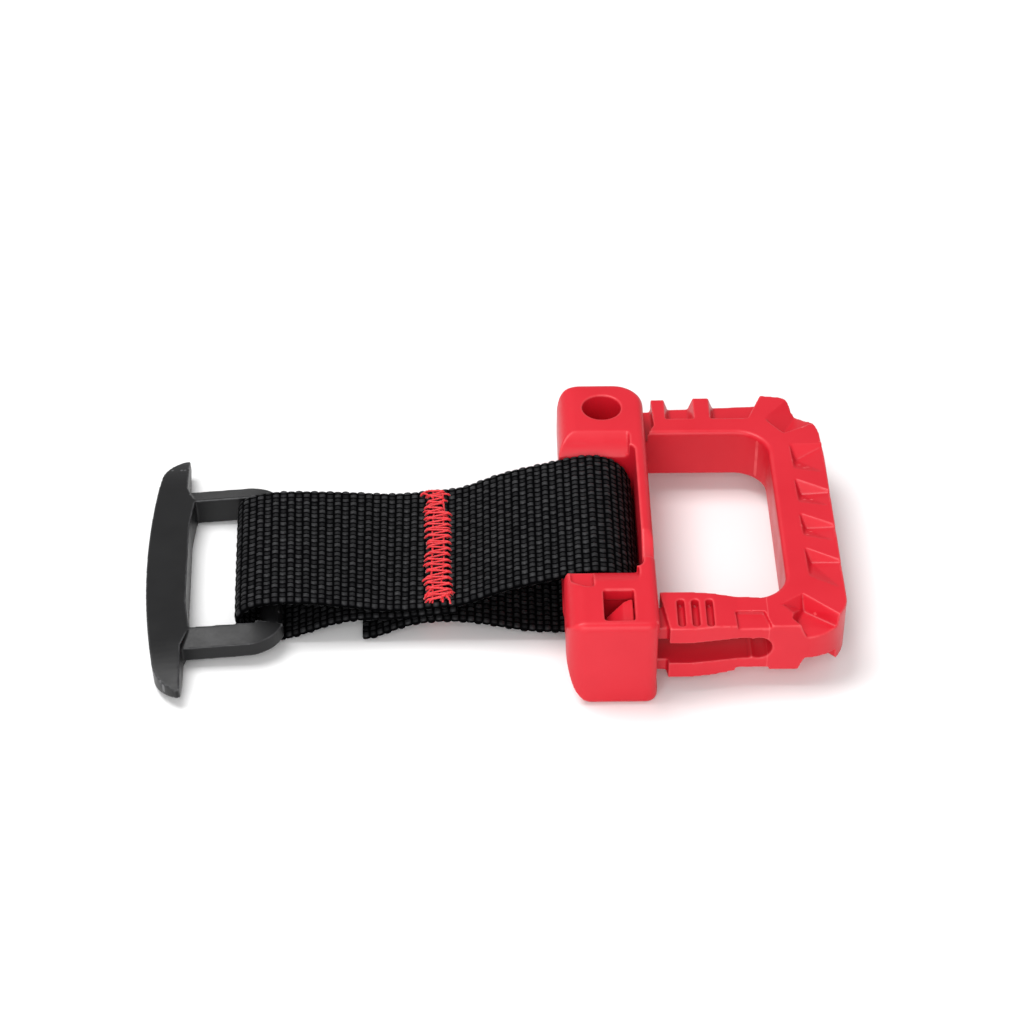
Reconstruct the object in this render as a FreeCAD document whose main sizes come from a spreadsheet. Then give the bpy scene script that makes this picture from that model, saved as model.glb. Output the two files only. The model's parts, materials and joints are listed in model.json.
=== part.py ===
import FreeCAD, Part
import math
import os
import re

import Sketcher
from FreeCAD import Placement, Rotation, Vector

# A short webbing strap with a toggle bar looped into one end and a quick-release D handle at the other.
# Frame: +Z up, the table at Z = 0, +X from the toggle bar towards the handle, origin at the middle of
# the resting footprint. Millimetres.

SIZES = {
    # strap yoke: the moulded block that the webbing and the handle both hold on to
    "yoke_left": 15.3,
    "yoke_right": 34.0,
    "yoke_front": -40.35,
    "yoke_back": 39.15,
    "yoke_height": 21.5,
    "yoke_front_left_round": 4.0,
    "yoke_front_right_round": 2.4,
    "yoke_back_left_round": 5.0,
    "yoke_back_right_round": 6.5,
    "yoke_rim_round": 1.6,
    "yoke_shoulder_round": 4.0,
    "yoke_belly_start": 12.0,
    "yoke_belly_inset": 4.2,
    "recess_front": -21.85,
    "recess_back": 17.75,
    "recess_wall_inside": 31.5,
    "recess_corner_round": 1.7,
    "recess_lip_drop_back": 3.8,
    "recess_lip_drop_front": 2.0,
    "recess_lip_reach": 4.6,
    "end_pocket_left": 16.5,
    "end_pocket_right": 21.1,
    "end_pocket_reach_back": 2.2,
    "end_pocket_reach_front": 6.2,
    "end_pocket_round_back": 1.8,
    "end_pocket_round_front": 4.2,
    "end_pocket_depth": 1.9,
    "dip_start": -10.4,
    "dip_lowest": -16.9,
    "dip_end": -18.9,
    "dip_depth": 2.7,
    "bar_middle": 22.1,
    "bar_height": 10.75,
    "bar_round": 7.0,
    # latch: two windows in the yoke and the cavity behind them
    "window_left": 22.9,
    "window_right": 29.1,
    "window_front": -38.35,
    "window_back": -29.35,
    "window_corner_round": 0.8,
    "cavity_left": 22.5,
    "cavity_front": -38.8,
    "cavity_back": -28.4,
    "cavity_low": 3.0,
    "cavity_high": 18.5,
    # pivot of the handle in the yoke
    "pivot_across": 24.9,
    "pivot_along": 30.55,
    "pivot_hole_round": 4.2,
    "pin_round": 4.15,
    "pin_top": 14.2,
    "pin_base": 0.4,
    "pin_head_round": 5.6,
    "pin_head_depth": 1.6,
    "pin_head_play": 0.05,
    "pin_bevel": 0.5,
    "tongue_half": 3.2,
    "tongue_play": 0.1,
    "eye_round": 7.9,
    "tongue_slot_round": 8.2,
    # D handle, measured from its pivot
    "middle_height": 10.75,
    "handle_half": 6.0,
    "arm_start": 10.0,
    "leg_outside": 47.8,
    "leg_inside": 35.9,
    "opening_back": -3.1,
    "opening_front": -56.9,
    "opening_round": 7.0,
    "outer_corner_round": 9.0,
    "front_corner_round": 9.2,
    "horn_round": 3.6,
    "arm_front": -66.0,
    "knob_wall": 1.9,
    "web_half": 3.1,
    "slot_half": 2.7,
    "slot_end": 32.2,
    "edge_round": 1.0,
    # spring prongs that latch the handle
    "flexure_across": 28.0,
    "flexure_round": 1.63,
    "flexure_play": 0.03,
    "prong_wide_end": 20.5,
    "prong_narrow_start": 25.5,
    "pad_half": 6.6,
    "pad_front": -67.3,
    "pad_back": -56.0,
    "pad_start": 9.7,
    "pad_start_slant": 1.7,
    "neck_half": 5.7,
    "neck_front": -66.0,
    "neck_back": -59.6,
    "barb_tip": -1.4,
    "barb_hook": 4.0,
    "barb_half": 9.0,
    "barb_front": -68.6,
    "barb_back": -60.6,
    "barb_lead": 3.4,
    "groove_first": 13.8,
    "groove_pitch": 2.9,
    "groove_width": 1.5,
    "groove_depth": 1.9,
    "groove_front": -66.4,
    "groove_back": -58.2,
    "thin_start": 24.8,
    "thin_end": 31.6,
    "thin_back": -61.3,
    "thin_depth": 0.7,
    # toggle bar, measured from the middle of its crossbar
    "toggle_across": -46.0,
    "toggle_along": -2.3,
    "toggle_height": 4.6,
    "toggle_pitch": 2.8,
    "toggle_yaw": 2.5,
    "toggle_half": 3.15,
    "ring_half_opening": 20.2,
    "ring_half_outside": 25.2,
    "ring_inside": -3.0,
    "ring_outside": 3.0,
    "ring_corner_round": 8.0,
    "ring_slope_run": 4.6,
    "ring_slope_drop": 1.5,
    "head_tip": 36.8,
    "head_tip_across": -19.3,
    "head_inner": -18.3,
    "head_inner_root": -16.6,
    "head_inner_round": 139.0,
    "head_shoulder": 29.0,
    "head_shoulder_across": -24.2,
    "head_shoulder_round": 9.5,
    "head_outer_round": 210.0,
    "head_tip_half": 1.0,
    "head_taper_start": 24.0,
    "head_taper_round": 48.0,
    "crossbar_round": 2.3,
    "crossbar_half_length": 19.6,
    # webbing and the bar tack that closes both loops
    "webbing_width": 38.1,
    "webbing_thickness": 1.8,
    "webbing_middle": -2.0,
    "webbing_play": 0.2,
    "tack_left": -13.8,
    "tack_right": -7.4,
    "tack_length": 36.6,
    "tack_thickness": 0.45,
    "tack_play": 0.08,
}

document = FreeCAD.newDocument("strap_toggle")


def make_sheet():
    """The driving dimensions, one alias a row."""
    sheet = document.addObject("Spreadsheet::Sheet", "Sizes")
    for row, (name, value) in enumerate(SIZES.items(), start=1):
        sheet.set(f"A{row}", name)
        sheet.set(f"B{row}", str(value))
        sheet.setAlias(f"B{row}", name)
    document.recompute()
    return sheet


sheet = make_sheet()


def bound(text):
    """A sum of sizes, written as an expression on the sheet."""
    return re.sub(r"[a-z][a-z_]+", lambda word: "Sizes." + word.group(0), text)


def size(text):
    """The present value of a sum of sizes."""
    return float(sheet.evalExpression(bound(text)))


def new_body(name):
    body = document.addObject("PartDesign::Body", name)
    body.Label = name
    return body


def new_sketch(body, name, plane, offset=None):
    """A sketch on one of the body's own origin planes, moved along its normal by an optional size."""
    sketch = body.newObject("Sketcher::SketchObject", name)
    origin = [feature for feature in body.Origin.OriginFeatures if feature.Role == plane][0]
    sketch.AttachmentSupport = [(origin, "")]
    sketch.MapMode = "FlatFace"
    if offset:
        sketch.setExpression("AttachmentOffset.Base.z", bound(offset))
    return sketch


def hold(sketch, edge, end, across, up):
    """Dimensions one point of an edge from the sketch's origin."""
    for kind, text in (("DistanceX", across), ("DistanceY", up)):
        rule = Sketcher.Constraint(kind, -1, 1, edge, end, size(text))
        number = sketch.addConstraint(rule)
        sketch.setExpression(f"Constraints[{number}]", bound(text))


def arc_between(start, end, radius, turn):
    """The arc of a circle from start to end; turn is 1 when its centre lies to the left of the travel."""
    chord = end - start
    rise = math.sqrt(radius**2 - (chord.Length / 2) ** 2)
    normal = Vector(-chord.y, chord.x, 0).normalize() * turn
    centre = (start + end) * 0.5 + normal * rise
    first, last = (start, end) if turn > 0 else (end, start)
    angles = [math.atan2(point.y - centre.y, point.x - centre.x) for point in (first, last)]
    return Part.ArcOfCircle(Part.Circle(centre, Vector(0, 0, 1), radius), *angles)


def outline(sketch, corners):
    """A closed outline. A corner is (across, up), or (across, up, radius, turn) where an arc follows it."""
    points = [Vector(size(corner[0]), size(corner[1]), 0) for corner in corners]
    first = sketch.GeometryCount
    ends = []
    for number, corner in enumerate(corners):
        start = points[number]
        end = points[(number + 1) % len(points)]
        if len(corner) == 2:
            sketch.addGeometry(Part.LineSegment(start, end), False)
            ends.append((1, 2))
        else:
            sketch.addGeometry(arc_between(start, end, size(corner[2]), corner[3]), False)
            ends.append((1, 2) if corner[3] > 0 else (2, 1))
    for number, corner in enumerate(corners):
        edge = first + number
        following = (number + 1) % len(corners)
        joint = (edge, ends[number][1], first + following, ends[following][0])
        sketch.addConstraint(Sketcher.Constraint("Coincident", *joint))
        hold(sketch, edge, ends[number][0], corner[0], corner[1])
        if len(corner) > 2:
            rule = Sketcher.Constraint("Radius", edge, size(corner[2]))
            index = sketch.addConstraint(rule)
            sketch.setExpression(f"Constraints[{index}]", bound(corner[2]))


def rectangle(sketch, left, right, low, high):
    outline(sketch, [(left, low), (right, low), (right, high), (left, high)])


def circle(sketch, across, up, radius):
    centre = Vector(size(across), size(up), 0)
    edge = sketch.addGeometry(Part.Circle(centre, Vector(0, 0, 1), size(radius)), False)
    hold(sketch, edge, 3, across, up)
    index = sketch.addConstraint(Sketcher.Constraint("Radius", edge, size(radius)))
    sketch.setExpression(f"Constraints[{index}]", bound(radius))


def pad(body, sketch, length, midplane=False, backwards=False):
    """Grows the body by the sketch's outline."""
    feature = body.newObject("PartDesign::Pad", sketch.Name + "_pad")
    feature.Profile = sketch
    feature.Midplane = midplane
    feature.Reversed = backwards
    feature.setExpression("Length", bound(length))
    document.recompute()
    return feature


def pocket(body, sketch, length, midplane=False, backwards=False):
    """Cuts the sketch's outline from the body, and insists that it removed something."""
    before = body.Shape.Volume
    feature = body.newObject("PartDesign::Pocket", sketch.Name + "_pocket")
    feature.Profile = sketch
    feature.Midplane = midplane
    feature.Reversed = backwards
    feature.setExpression("Length", bound(length))
    document.recompute()
    if not body.Shape.Volume < before:
        raise ValueError(f"{sketch.Name} cuts nothing")
    return feature


def round_edges(body, name, radius, wanted):
    """Fillets the edges that the test picks out."""
    edges = body.Shape.Edges
    names = [f"Edge{number}" for number, edge in enumerate(edges, start=1) if wanted(edge)]
    if not names:
        raise ValueError(f"{name} finds no edge")
    base = body.Tip
    feature = body.newObject("PartDesign::Fillet", name)
    feature.Base = (base, names)
    feature.setExpression("Radius", bound(radius))
    document.recompute()
    return feature


def upright_at(across, along):
    """A test for the upright edge through a point of the plan."""
    place = Vector(size(across), size(along), 0)

    def test(edge):
        start, end = edge.Vertexes[0].Point, edge.Vertexes[-1].Point
        upright = abs(start.z - end.z) > 1 and abs(start.x - end.x) + abs(start.y - end.y) < 0.01
        return upright and abs(start.x - place.x) + abs(start.y - place.y) < 0.05

    return test


def level_at(*heights):
    """A test for edges that lie flat at one of the heights."""
    levels = [size(text) for text in heights]

    def test(edge):
        box = edge.BoundBox
        return any(abs(box.ZMin - z) < 0.01 and abs(box.ZMax - z) < 0.01 for z in levels)

    return test


def make_yoke():
    """The strap yoke: a block with a recess and a round bar for the webbing, a pivot and a latch."""
    body = new_body("strap_yoke")
    plan = new_sketch(body, "yoke_plan", "XY_Plane")
    rectangle(plan, "yoke_left", "yoke_right", "yoke_front", "yoke_back")
    pad(body, plan, "yoke_height")
    corners = (
        ("yoke_left", "yoke_front", "yoke_front_left_round"),
        ("yoke_right", "yoke_front", "yoke_front_right_round"),
        ("yoke_left", "yoke_back", "yoke_back_left_round"),
        ("yoke_right", "yoke_back", "yoke_back_right_round"),
    )
    for across, along, radius in corners:
        round_edges(body, radius + "_fillet", radius, upright_at(across, along))
    round_edges(body, "yoke_rims", "yoke_rim_round", level_at("0 * yoke_height", "yoke_height"))
    cut_yoke_side(body)
    cut_recess(body)
    bar = new_sketch(body, "bar_section", "XZ_Plane", "-0.5 * (recess_front + recess_back)")
    circle(bar, "bar_middle", "bar_height", "bar_round")
    pad(body, bar, "recess_back - recess_front + 2 * yoke_rim_round", midplane=True)
    cut_latch_cavity(body)
    cut_pivot(body)
    return body


def cut_yoke_side(body):
    """The strap side is rounded at the top and has a long rounded belly below."""
    shoulder = new_sketch(body, "shoulder", "XZ_Plane")
    corners = [
        ("yoke_left - 1", "yoke_height - yoke_shoulder_round"),
        ("yoke_left", "yoke_height - yoke_shoulder_round", "yoke_shoulder_round", -1),
        ("yoke_left + yoke_shoulder_round", "yoke_height"),
        ("yoke_left + yoke_shoulder_round", "yoke_height + 1"),
        ("yoke_left - 1", "yoke_height + 1"),
    ]
    outline(shoulder, corners)
    pocket(body, shoulder, "4 * yoke_back", midplane=True)
    belly = new_sketch(body, "belly", "XZ_Plane")
    corners = [
        ("yoke_left - 1", "yoke_belly_start + 1"),
        ("yoke_left", "yoke_belly_start + 1"),
        ("yoke_left", "yoke_belly_start", "6.2 * yoke_belly_inset", 1),
        ("yoke_left + 0.36 * yoke_belly_inset", "0.36 * yoke_belly_start", "1.9 * yoke_belly_inset", 1),
        ("yoke_left + 1.45 * yoke_belly_inset", "-0.01 * yoke_height"),
        ("yoke_left + 1.45 * yoke_belly_inset", "-1 * yoke_rim_round"),
        ("yoke_left - 1", "-1 * yoke_rim_round"),
    ]
    outline(belly, corners)
    pocket(body, belly, "4 * yoke_back", midplane=True)


def cut_recess(body):
    """The open bay that the webbing turns in, with rolled lips, a pocket at each end and a scoop."""
    plan = new_sketch(body, "recess_plan", "XY_Plane")
    rectangle(plan, "yoke_left - 1", "recess_wall_inside", "recess_front", "recess_back")
    pocket(body, plan, "3 * yoke_height", midplane=True)
    for along in ("recess_front", "recess_back"):
        name = along + "_corner"
        round_edges(body, name, "recess_corner_round", upright_at("recess_wall_inside", along))
    lips = (
        ("recess_back", "back", "+", 1),
        ("recess_front", "front", "-", -1),
    )
    for along, end, way, turn in lips:
        lip = new_sketch(body, along + "_lip", "YZ_Plane", "yoke_left - 1")
        radius = "2.6 * recess_lip_reach"
        corners = [
            (along, f"yoke_height - recess_lip_drop_{end}", radius, -turn),
            (f"{along} {way} recess_lip_reach", "yoke_height"),
            (f"{along} {way} recess_lip_reach", "yoke_height + 1"),
            (along, "yoke_height + 1"),
        ]
        outline(lip, corners)
        pocket(body, lip, "recess_wall_inside - yoke_left", backwards=True)
        scoop = new_sketch(body, along + "_end_pocket", "XY_Plane", "yoke_height")
        reach = f"{along} {way} end_pocket_reach_{end}"
        corner = f"end_pocket_round_{end}"
        corners = [
            ("end_pocket_left", along),
            ("end_pocket_right", along),
            ("end_pocket_right", reach),
            (f"end_pocket_left + {corner}", reach, corner, turn),
            ("end_pocket_left", f"{along} {way} (end_pocket_reach_{end} - {corner})"),
        ]
        outline(scoop, corners)
        pocket(body, scoop, "end_pocket_depth")
    dip = new_sketch(body, "dip", "YZ_Plane", "recess_wall_inside - 1")
    corners = [
        ("dip_start", "yoke_height"),
        ("dip_lowest", "yoke_height - dip_depth"),
        ("dip_lowest - 0.9", "yoke_height - dip_depth"),
        ("dip_end", "yoke_height"),
        ("dip_end", "yoke_height + 1"),
        ("dip_start", "yoke_height + 1"),
    ]
    outline(dip, corners)
    pocket(body, dip, "yoke_right - recess_wall_inside + 2", backwards=True)


def cut_latch_cavity(body):
    """The cavity that takes both barbs, open towards the handle, and its two windows."""
    cavity = new_sketch(body, "cavity", "YZ_Plane", "cavity_left")
    rectangle(cavity, "cavity_front", "cavity_back", "cavity_low", "cavity_high")
    pocket(body, cavity, "yoke_right - cavity_left + 1", backwards=True)
    windows = new_sketch(body, "windows", "XY_Plane")
    rectangle(windows, "window_left", "window_right", "window_front", "window_back")
    pocket(body, windows, "3 * yoke_height", midplane=True)
    for across in ("window_left", "window_right"):
        name = across + "_corner"
        round_edges(body, name, "window_corner_round", upright_at(across, "window_front"))


def cut_pivot(body):
    """The pivot hole, the seat of the pin's head, and the slot that the handle's tongue swings in."""
    slot = new_sketch(body, "tongue_slot", "XY_Plane", "middle_height")
    corners = [
        ("pivot_across - tongue_slot_round", "pivot_along", "tongue_slot_round", 1),
        ("pivot_across", "pivot_along - tongue_slot_round"),
        ("yoke_right + 1", "pivot_along - tongue_slot_round"),
        ("yoke_right + 1", "yoke_back + 1"),
        ("pivot_across - tongue_slot_round", "yoke_back + 1"),
    ]
    outline(slot, corners)
    pocket(body, slot, "2 * tongue_half + 2 * tongue_play", midplane=True)
    hole = new_sketch(body, "pivot_hole", "XY_Plane")
    circle(hole, "pivot_across", "pivot_along", "pivot_hole_round")
    pocket(body, hole, "3 * yoke_height", midplane=True)
    seat = new_sketch(body, "pin_head_seat", "XY_Plane")
    circle(seat, "pivot_across", "pivot_along", "pin_head_round + pin_head_play")
    depth = "2 * pin_base + 2 * pin_head_depth + 2 * pin_head_play"
    pocket(body, seat, depth, midplane=True)


def make_pin():
    """The headed pin pressed up into the yoke. It stops far below the top of its hole."""
    body = new_body("pivot_pin")
    profile = new_sketch(body, "pin_profile", "XZ_Plane")
    zero = "0 * pin_round"
    corners = [
        (zero, "pin_base"),
        ("pin_head_round", "pin_base"),
        ("pin_head_round", "pin_base + pin_head_depth"),
        ("pin_round", "pin_base + pin_head_depth"),
        ("pin_round", "pin_top - pin_bevel"),
        ("pin_round - pin_bevel", "pin_top"),
        (zero, "pin_top"),
    ]
    outline(profile, corners)
    turned = body.newObject("PartDesign::Revolution", "pin_turned")
    turned.Profile = profile
    turned.ReferenceAxis = (profile, ["V_Axis"])
    turned.Angle = 360
    body.setExpression("Placement.Base.x", bound("pivot_across"))
    body.setExpression("Placement.Base.y", bound("pivot_along"))
    document.recompute()
    return body


def stand_at_pivot(thing):
    """Places a piece that is drawn from the pivot at mid thickness."""
    thing.setExpression("Placement.Base.x", bound("pivot_across"))
    thing.setExpression("Placement.Base.y", bound("pivot_along"))
    thing.setExpression("Placement.Base.z", bound("middle_height"))
    document.recompute()


def make_handle_blank():
    """The D handle without its faceted tread: back arm, outer leg and the root of the front arm."""
    body = new_body("handle_blank")
    plan = new_sketch(body, "handle_plan", "XY_Plane")
    corners = [
        ("arm_start", "opening_back"),
        ("leg_inside", "opening_back"),
        ("leg_inside", "opening_front"),
        ("flexure_across", "opening_front"),
        ("flexure_across", "arm_front"),
        ("leg_inside + 3.9", "arm_front", "front_corner_round", 1),
        ("leg_outside", "arm_front + 9.6"),
        ("leg_outside", "opening_back - 7"),
        ("leg_outside - 0.4", "opening_back - 0.6", "outer_corner_round", 1),
        ("leg_outside - 2.8", "opening_back + 4.8"),
        ("leg_outside - 5.6", "opening_back + 9.2", "horn_round", 1),
        ("leg_outside - 8.6", "opening_back + 12.4"),
        ("leg_inside - 0.2", "opening_back + 12.9"),
        ("arm_start + 1.2", "opening_back + 11.6"),
        ("arm_start + 1.5", "opening_back + 2.6"),
    ]
    outline(plan, corners)
    pad(body, plan, "2 * handle_half", midplane=True)
    for along in ("opening_back", "opening_front"):
        name = along + "_corner"
        round_edges(body, name, "opening_round", upright_at("leg_inside", along))
    rims = level_at("handle_half", "-1 * handle_half")
    low, high = size("opening_front"), size("opening_back")

    def inner_rim(edge):
        box = edge.BoundBox
        inside = box.YMin > low - 0.01 and box.YMax < high + 0.01
        return rims(edge) and inside and box.XMax < size("leg_inside") + 0.01 and edge.Length > 1.5

    round_edges(body, "opening_rims", "edge_round", inner_rim)
    tongue = new_sketch(body, "tongue_plan", "XY_Plane")
    corners = [
        ("-1 * eye_round", "0 * eye_round", "eye_round", -1),
        ("0 * eye_round", "eye_round"),
        ("arm_start + 4", "eye_round"),
        ("arm_start + 4", "opening_back"),
        ("0.3 * eye_round", "opening_back"),
        ("0 * eye_round", "-1 * eye_round", "eye_round", -1),
    ]
    outline(tongue, corners)
    pad(body, tongue, "2 * tongue_half", midplane=True)
    hole = new_sketch(body, "eye_hole", "XY_Plane")
    circle(hole, "0 * eye_round", "0 * eye_round", "pivot_hole_round")
    pocket(body, hole, "4 * handle_half", midplane=True)
    cut_back_arm(body)
    for way in ("", "-1 * "):
        cut_flexure_bay(body, "handle_thin", way)
    slot = new_sketch(body, "slot_end_round", "XZ_Plane", "-1 * arm_front")
    circle(slot, "slot_end - slot_half", "0 * slot_half", "slot_half")
    pocket(body, slot, "8 * slot_half", midplane=True)
    for way in ("", "-1 * "):
        seat = new_sketch(body, "flexure_seat", "XZ_Plane", "-1 * arm_front")
        height = f"{way}(handle_half - flexure_round)"
        circle(seat, "flexure_across", height, "flexure_round + flexure_play")
        pocket(body, seat, "4 * slot_half", midplane=False)
    return body


def cut_back_arm(body):
    """Two bays between the knobs on the outside of the back arm, cut from both faces down to a web."""
    bays = (("0.295 * leg_outside", "0.431 * leg_outside"), ("0.502 * leg_outside", "0.676 * leg_outside"))
    for left, right in bays:
        for way in ("", "-1 * "):
            bay = new_sketch(body, "bay", "XZ_Plane", "-1 * knob_wall")
            corners = [
                (f"{left} + 1.1", f"{way}web_half"),
                (f"{right} - 1.1", f"{way}web_half"),
                (right, f"{way}(handle_half + 0.1)"),
                (left, f"{way}(handle_half + 0.1)"),
            ]
            outline(bay, corners)
            pocket(body, bay, "2 * eye_round", backwards=False)
    for way in ("", "-1 * "):
        flare = new_sketch(body, "bay_flare", "XY_Plane", f"{way}web_half")
        corners = [
            ("0.65 * leg_outside", "knob_wall"),
            ("0.676 * leg_outside", "knob_wall"),
            ("leg_inside + 0.3", "opening_back + 14.6"),
            ("0.65 * leg_outside", "opening_back + 14.6"),
        ]
        outline(flare, corners)
        pocket(body, flare, "handle_half", backwards=(way == ""))


def faceted_notch(inner, outer):
    """A faceted cutter between two rings of as many corners each, with flat triangles all over."""
    rings = [inner, outer]
    for number, corner in enumerate(inner):
        after = (number + 1) % len(inner)
        rings.append([corner, inner[after], outer[after], outer[number]])
    facets = []
    for ring in rings:
        for second, third in zip(ring[1:], ring[2:]):
            facets.append(Part.Face(Part.makePolygon([ring[0], second, third, ring[0]])))
    solid = Part.Solid(Part.Shell(facets))
    if solid.Volume < 0:
        solid.reverse()
    return solid


def make_tread():
    """Cutters for the faceted tread on both faces of the leg: four notches and one at each corner."""
    half = size("handle_half")
    above = 0.6
    shallow = 0.3
    edge = size("leg_outside")
    notches = (
        (-6.4, -10.8, -17.4, -6.9, -7.8, -19.0),
        (-18.1, -22.5, -28.4, -22.4, -23.9, -30.0),
        (-29.7, -33.6, -39.3, -33.3, -35.2, -41.5),
        (-40.9, -44.5, -52.8, -44.7, -46.5, -57.5),
    )
    cutters = []
    for side in (1, -1):

        def point(across, along, depth):
            return Vector(across, along, side * (half - depth))

        for far, valley, near, far_out, valley_out, near_out in notches:
            inner = [
                point(edge - 7.6, far, -above),
                point(edge - 6.1, valley, 2.0),
                point(edge - 7.2, near, -above),
            ]
            outer = [
                point(edge + 0.4, far_out, -above),
                point(edge + 0.4, valley_out, shallow),
                point(edge + 0.4, near_out, -above),
            ]
            cutters.append(faceted_notch(inner, outer))
        inner = [point(35.2, 2.4, -above), point(39.2, -2.2, 2.4), point(39.9, -3.9, -above)]
        outer = [point(41.6, 10.0, -above), point(43.9, 6.6, 2.3), point(48.0, 0.2, -above)]
        cutters.append(faceted_notch(inner, outer))
        outer = [point(47.6, -63.8, -above), point(47.4, -64.4, 2.9), point(40.9, -68.4, 3.6)]
        outer.append(point(39.5, -68.4, -above))
        inner = [point(38.7, -55.5, -above), point(38.9, -58.2, 2.9), point(36.9, -62.8, 2.7)]
        inner.append(point(36.0, -63.6, -above))
        cutters.append(faceted_notch(outer, inner))
        inner = [point(38.8, -55.5, -above), point(39.1, -58.5, 2.6), point(36.4, -63.6, -above)]
        outer = [point(34.0, -59.1, -above), point(34.0, -59.6, 0.1), point(33.6, -60.0, -above)]
        cutters.append(faceted_notch(inner, outer))
    tread = document.addObject("Part::Feature", "tread_cutters")
    tread.Shape = cutters[0].multiFuse(cutters[1:])
    return tread


def make_handle():
    """The finished D handle: the blank less the tread."""
    cut = document.addObject("Part::Cut", "release_handle")
    cut.Base = make_handle_blank()
    cut.Tool = make_tread()
    document.recompute()
    stand_at_pivot(cut)
    return cut


def make_prong(name, way):
    """A spring prong: grooved finger pad, thinned flexure, neck and barb. way is "" above, "-1 * " below."""
    body = new_body(name)
    side = new_sketch(body, name + "_side", "XZ_Plane", "-1 * pad_back")
    flex = f"{way}(handle_half - flexure_round)"
    corners = [
        ("pad_start", f"{way}slot_half"),
        ("flexure_across", f"{way}(handle_half - 2 * flexure_round)"),
        ("flexure_across", f"{way}handle_half"),
        ("prong_narrow_start", f"{way}handle_half"),
        ("prong_wide_end", f"{way}pad_half"),
        ("pad_start", f"{way}pad_half"),
    ]
    outline(side, corners)
    pad(body, side, "pad_back - pad_front")
    root = new_sketch(body, name + "_root", "XZ_Plane", "-1 * opening_front")
    circle(root, "flexure_across", flex, "flexure_round")
    pad(body, root, "opening_front - arm_front")
    trim_prong_sides(body, name)
    neck = new_sketch(body, name + "_neck", "XZ_Plane", "-1 * neck_back")
    rectangle(neck, "barb_tip + 0.2", "pad_start + pad_start_slant + 1", f"{way}slot_half", f"{way}neck_half")
    pad(body, neck, "neck_back - neck_front")
    barb = new_sketch(body, name + "_barb", "XZ_Plane", "-1 * barb_back")
    corners = [
        ("barb_tip", f"{way}slot_half"),
        ("barb_hook", f"{way}slot_half"),
        ("barb_hook", f"{way}barb_half"),
        ("barb_tip + barb_lead", f"{way}(barb_half - 0.25)"),
        ("barb_tip", f"{way}(barb_half - 2.6)"),
    ]
    outline(barb, corners)
    pad(body, barb, "barb_back - barb_front")
    lead = new_sketch(body, name + "_lead", "XY_Plane")
    corners = [
        ("barb_tip - 1", "barb_back - barb_lead"),
        ("barb_hook - 0.6", "barb_back"),
        ("barb_hook - 0.6", "barb_back + 1"),
        ("barb_tip - 1", "barb_back + 1"),
    ]
    outline(lead, corners)
    pocket(body, lead, "5 * barb_half", midplane=True)
    cut_prong_face(body, name, way)
    stand_at_pivot(body)
    return body


def trim_prong_sides(body, name):
    """Both sides of the pad taper to the arm's width at the flexure, and its free end is slanted."""
    sides = (("pad_back", "opening_front", 1), ("pad_front", "arm_front", -1))
    for wide, narrow, way in sides:
        trim = new_sketch(body, name + "_trim", "XY_Plane")
        corners = [
            ("0.8 * prong_wide_end", wide),
            ("prong_narrow_start", narrow),
            ("flexure_across + flexure_round + 1", narrow),
            ("flexure_across + flexure_round + 1", f"{wide} + {way}"),
            ("0.8 * prong_wide_end", f"{wide} + {way}"),
        ]
        outline(trim, corners)
        pocket(body, trim, "5 * barb_half", midplane=True)
    slant = new_sketch(body, name + "_slant", "XY_Plane")
    corners = [
        ("pad_start - 1", "pad_back"),
        ("pad_start", "pad_back"),
        ("pad_start + pad_start_slant", "pad_front - 1"),
        ("pad_start - 1", "pad_front - 1"),
    ]
    outline(slant, corners)
    pocket(body, slant, "5 * barb_half", midplane=True)


def cut_prong_face(body, name, way):
    """Three finger grooves and the shallow bay that thins the flexure."""
    for number in range(3):
        groove = new_sketch(body, f"{name}_groove", "XY_Plane", f"{way}(pad_half - groove_depth)")
        middle = f"groove_first + {number} * groove_pitch"
        left, right = f"{middle} - 0.5 * groove_width", f"{middle} + 0.5 * groove_width"
        low, high = "groove_front + 0.5 * groove_width", "groove_back - 0.5 * groove_width"
        corners = [
            (left, low, "0.501 * groove_width", 1),
            (right, low),
            (right, high, "0.501 * groove_width", 1),
            (left, high),
        ]
        outline(groove, corners)
        pocket(body, groove, "3 * groove_depth", backwards=(way == ""))
    cut_flexure_bay(body, f"{name}_thin", way)


def cut_flexure_bay(body, name, way):
    """The shallow bay that thins the arm at the flexure, on the prong and on the handle alike."""
    bay = new_sketch(body, name, "XY_Plane", f"{way}(handle_half - thin_depth)")
    corners = [
        ("thin_start + 0.3", "pad_front - 1"),
        ("thin_end + 0.9", "pad_front - 1"),
        ("thin_end - 0.9", "thin_back"),
        ("thin_start", "thin_back"),
    ]
    outline(bay, corners)
    pocket(body, bay, "3 * thin_depth", backwards=(way == ""))


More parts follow.
